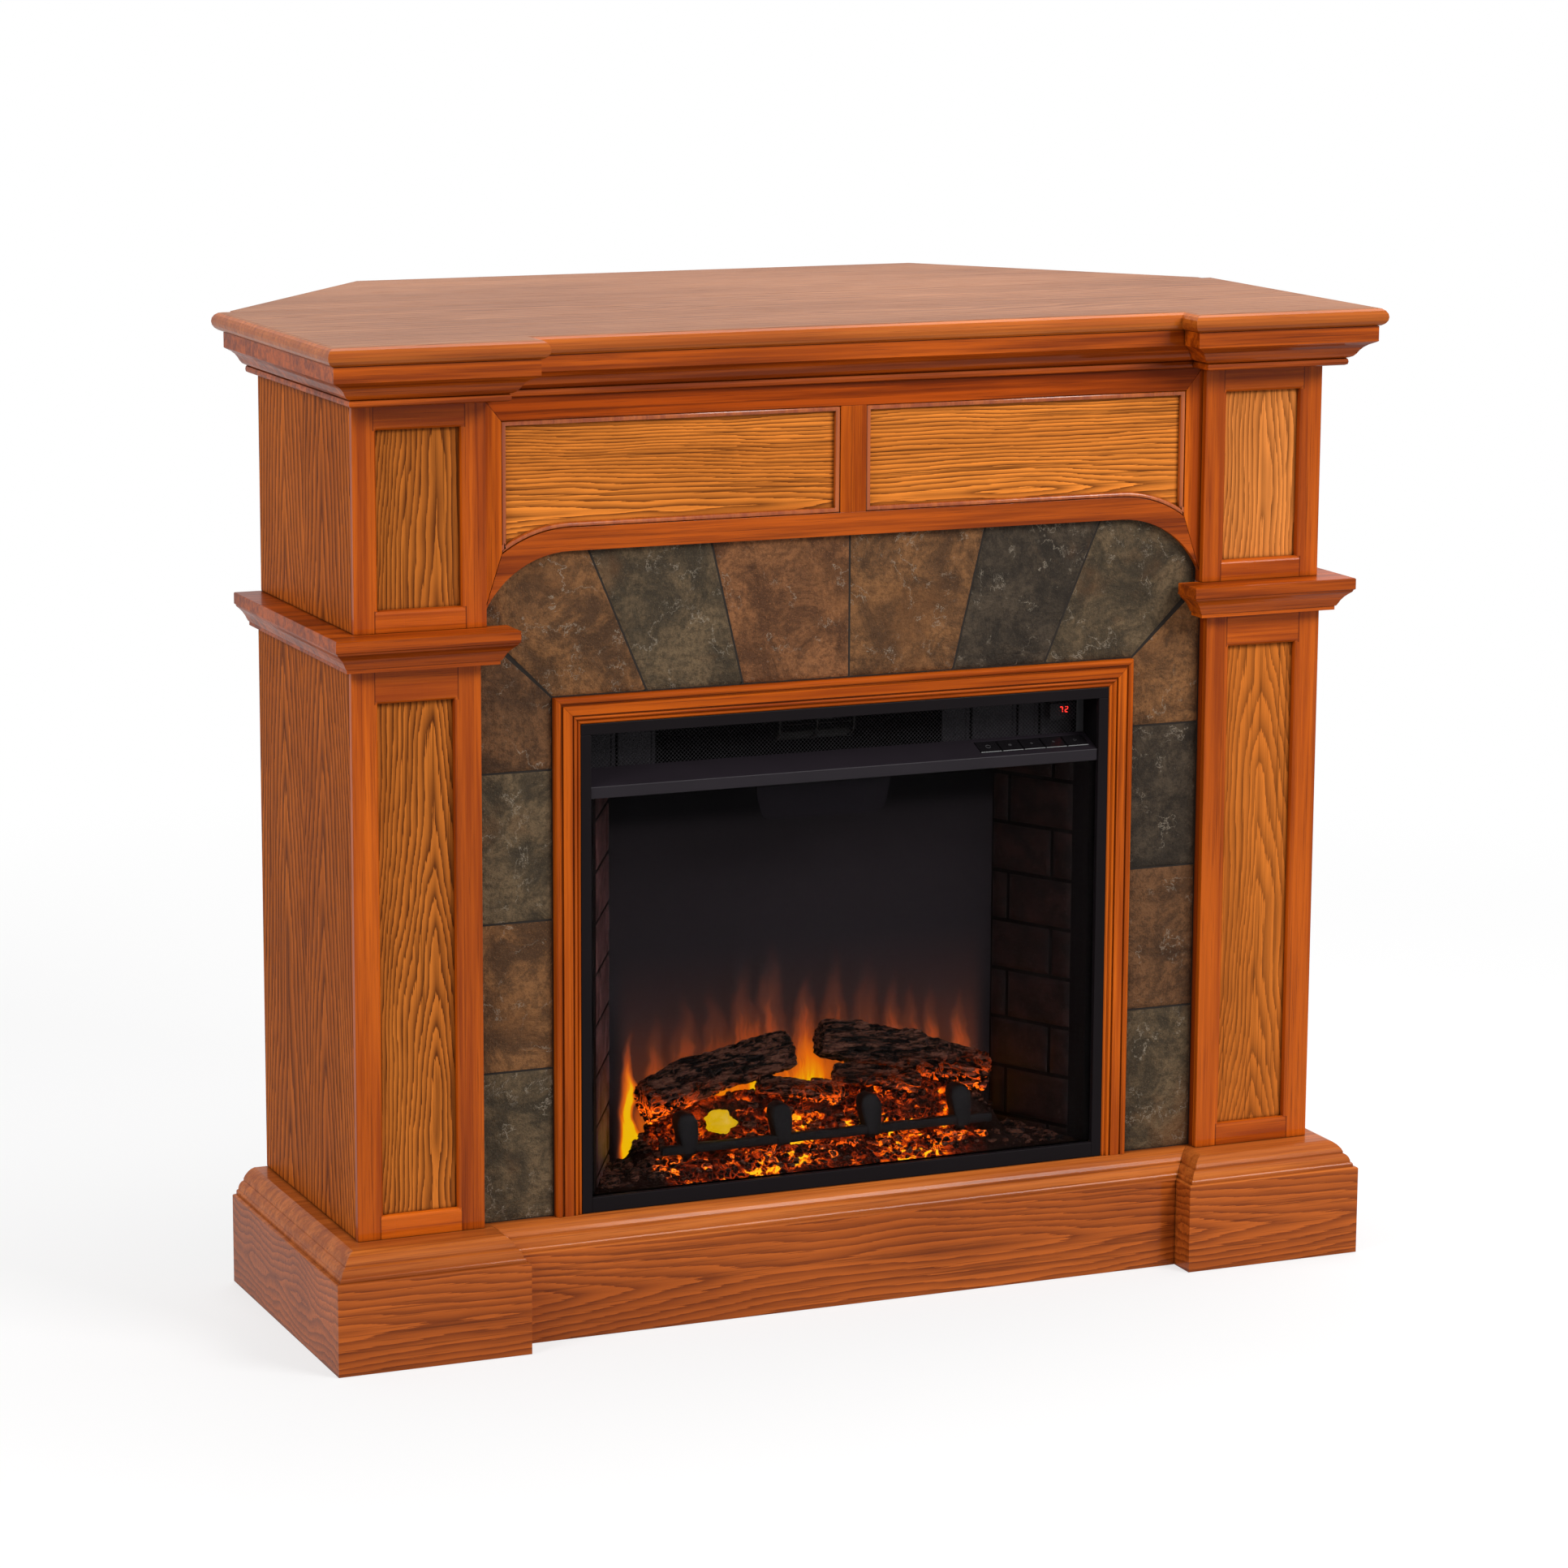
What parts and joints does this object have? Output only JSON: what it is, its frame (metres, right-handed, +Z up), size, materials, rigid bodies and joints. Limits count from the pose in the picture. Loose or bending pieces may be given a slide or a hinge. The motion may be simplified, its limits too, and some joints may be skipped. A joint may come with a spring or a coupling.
{
  "type": "corner electric fireplace",
  "caption": "Stained oak corner mantel with breakfront pilasters, slate tile surround, electric log insert with control keys, and a drop leaf behind the top.",
  "frame": {"origin": "middle of the footprint of the whole object, on the floor", "axes": "+X along the width to the right as seen from the front, +Y from the front towards the corner behind, +Z up"},
  "size_m": [1.1556, 0.661, 1.0223],
  "materials": {
    "oak_stain": "satin orange-brown stained oak, straight grain",
    "oak_veneer": "satin stained oak veneer on board",
    "dark_stain": "satin red-brown stained oak",
    "slate": "riven multicolour slate with dark grout lines",
    "black_steel": "satin black powder coat",
    "black_plastic": "satin black moulding",
    "zinc": "bright zinc plate",
    "smoked_glass": "clear with a grey tint",
    "dark_screen": "glossy dark diffuser",
    "brick": "moulded brick pattern, dark red-brown",
    "char": "charred bark, matt",
    "ember": "glowing red and black embers"
  },
  "bodies": {
    "mantel": {"top_board": "oak_veneer", "header_panel": "oak_veneer", "hearth_board": "oak_veneer", "crown_left": "oak_stain", "crown_middle": "oak_stain", "crown_right": "oak_stain", "header_top_rail": "oak_stain", "header_stile_left": "oak_stain", "header_stile_right": "oak_stain", "header_centre_stile": "oak_stain", "header_arch_rail": "oak_stain", "trim_left": "oak_stain", "trim_top": "oak_stain", "trim_right": "oak_stain", "plinth_left": "dark_stain", "plinth_middle": "dark_stain", "plinth_right": "dark_stain", "upper_frame_left": "oak_stain", "lower_frame_left": "oak_stain", "belt_left": "oak_stain", "upper_panel_left": "oak_veneer", "lower_panel_left": "oak_veneer", "side_upper_left": "oak_veneer", "side_lower_left": "oak_veneer", "slate_left": "slate", "bezel_left": "black_steel", "brick_wall_left": "brick", "log_left": "char", "upper_frame_right": "oak_stain", "lower_frame_right": "oak_stain", "belt_right": "oak_stain", "upper_panel_right": "oak_veneer", "lower_panel_right": "oak_veneer", "side_upper_right": "oak_veneer", "side_lower_right": "oak_veneer", "slate_right": "slate", "bezel_right": "black_steel", "brick_wall_right": "brick", "log_right": "char", "slate_top": "slate", "leaf_hinge_fixed": "zinc", "bezel_top": "black_steel", "bezel_bottom": "black_steel", "vent_grille": "black_steel", "case_back": "black_steel", "heater_housing": "black_steel", "control_ledge": "black_plastic", "cord_gland": "black_plastic", "glass": "smoked_glass", "flame_screen": "dark_screen", "ember_bed": "ember"},
    "leaf": {"rear_leaf": "oak_veneer", "leaf_hinge_moving": "zinc"},
    "blower": {"blower_wheel": "zinc"},
    "flame_spindle": {"flame_rotor": "zinc"},
    "key_1": {"button_1": "black_plastic"},
    "key_2": {"button_2": "black_plastic"},
    "key_3": {"button_3": "black_plastic"},
    "key_4": {"button_4": "black_plastic"},
    "key_5": {"button_5": "black_plastic"}
  },
  "joints": [
    {"name": "leaf_drop", "type": "hinge", "parent": "mantel", "child": "leaf", "pos_m": [0, 0.0398, 0.99905], "axis": [-1, 0, 0], "range_deg": [0, 90]},
    {"name": "blower_spin", "type": "hinge", "parent": "mantel", "child": "blower", "pos_m": [0, -0.1525, 0.5969], "axis": [1, 0, 0], "continuous": true},
    {"name": "flame_spin", "type": "hinge", "parent": "mantel", "child": "flame_spindle", "pos_m": [0, -0.1125, 0.1735], "axis": [1, 0, 0], "continuous": true},
    {"name": "key_1_press", "type": "slide", "parent": "mantel", "child": "key_1", "axis": [0, 0.3762, -0.9265], "range_m": [0, 0.001], "stiffness_N_per_m": 600, "springref_m": -0.0008},
    {"name": "key_2_press", "type": "slide", "parent": "mantel", "child": "key_2", "axis": [0, 0.3762, -0.9265], "range_m": [0, 0.001], "stiffness_N_per_m": 600, "springref_m": -0.0008},
    {"name": "key_3_press", "type": "slide", "parent": "mantel", "child": "key_3", "axis": [0, 0.3762, -0.9265], "range_m": [0, 0.001], "stiffness_N_per_m": 600, "springref_m": -0.0008},
    {"name": "key_4_press", "type": "slide", "parent": "mantel", "child": "key_4", "axis": [0, 0.3762, -0.9265], "range_m": [0, 0.001], "stiffness_N_per_m": 600, "springref_m": -0.0008},
    {"name": "key_5_press", "type": "slide", "parent": "mantel", "child": "key_5", "axis": [0, 0.3762, -0.9265], "range_m": [0, 0.001], "stiffness_N_per_m": 600, "springref_m": -0.0008}
  ]
}
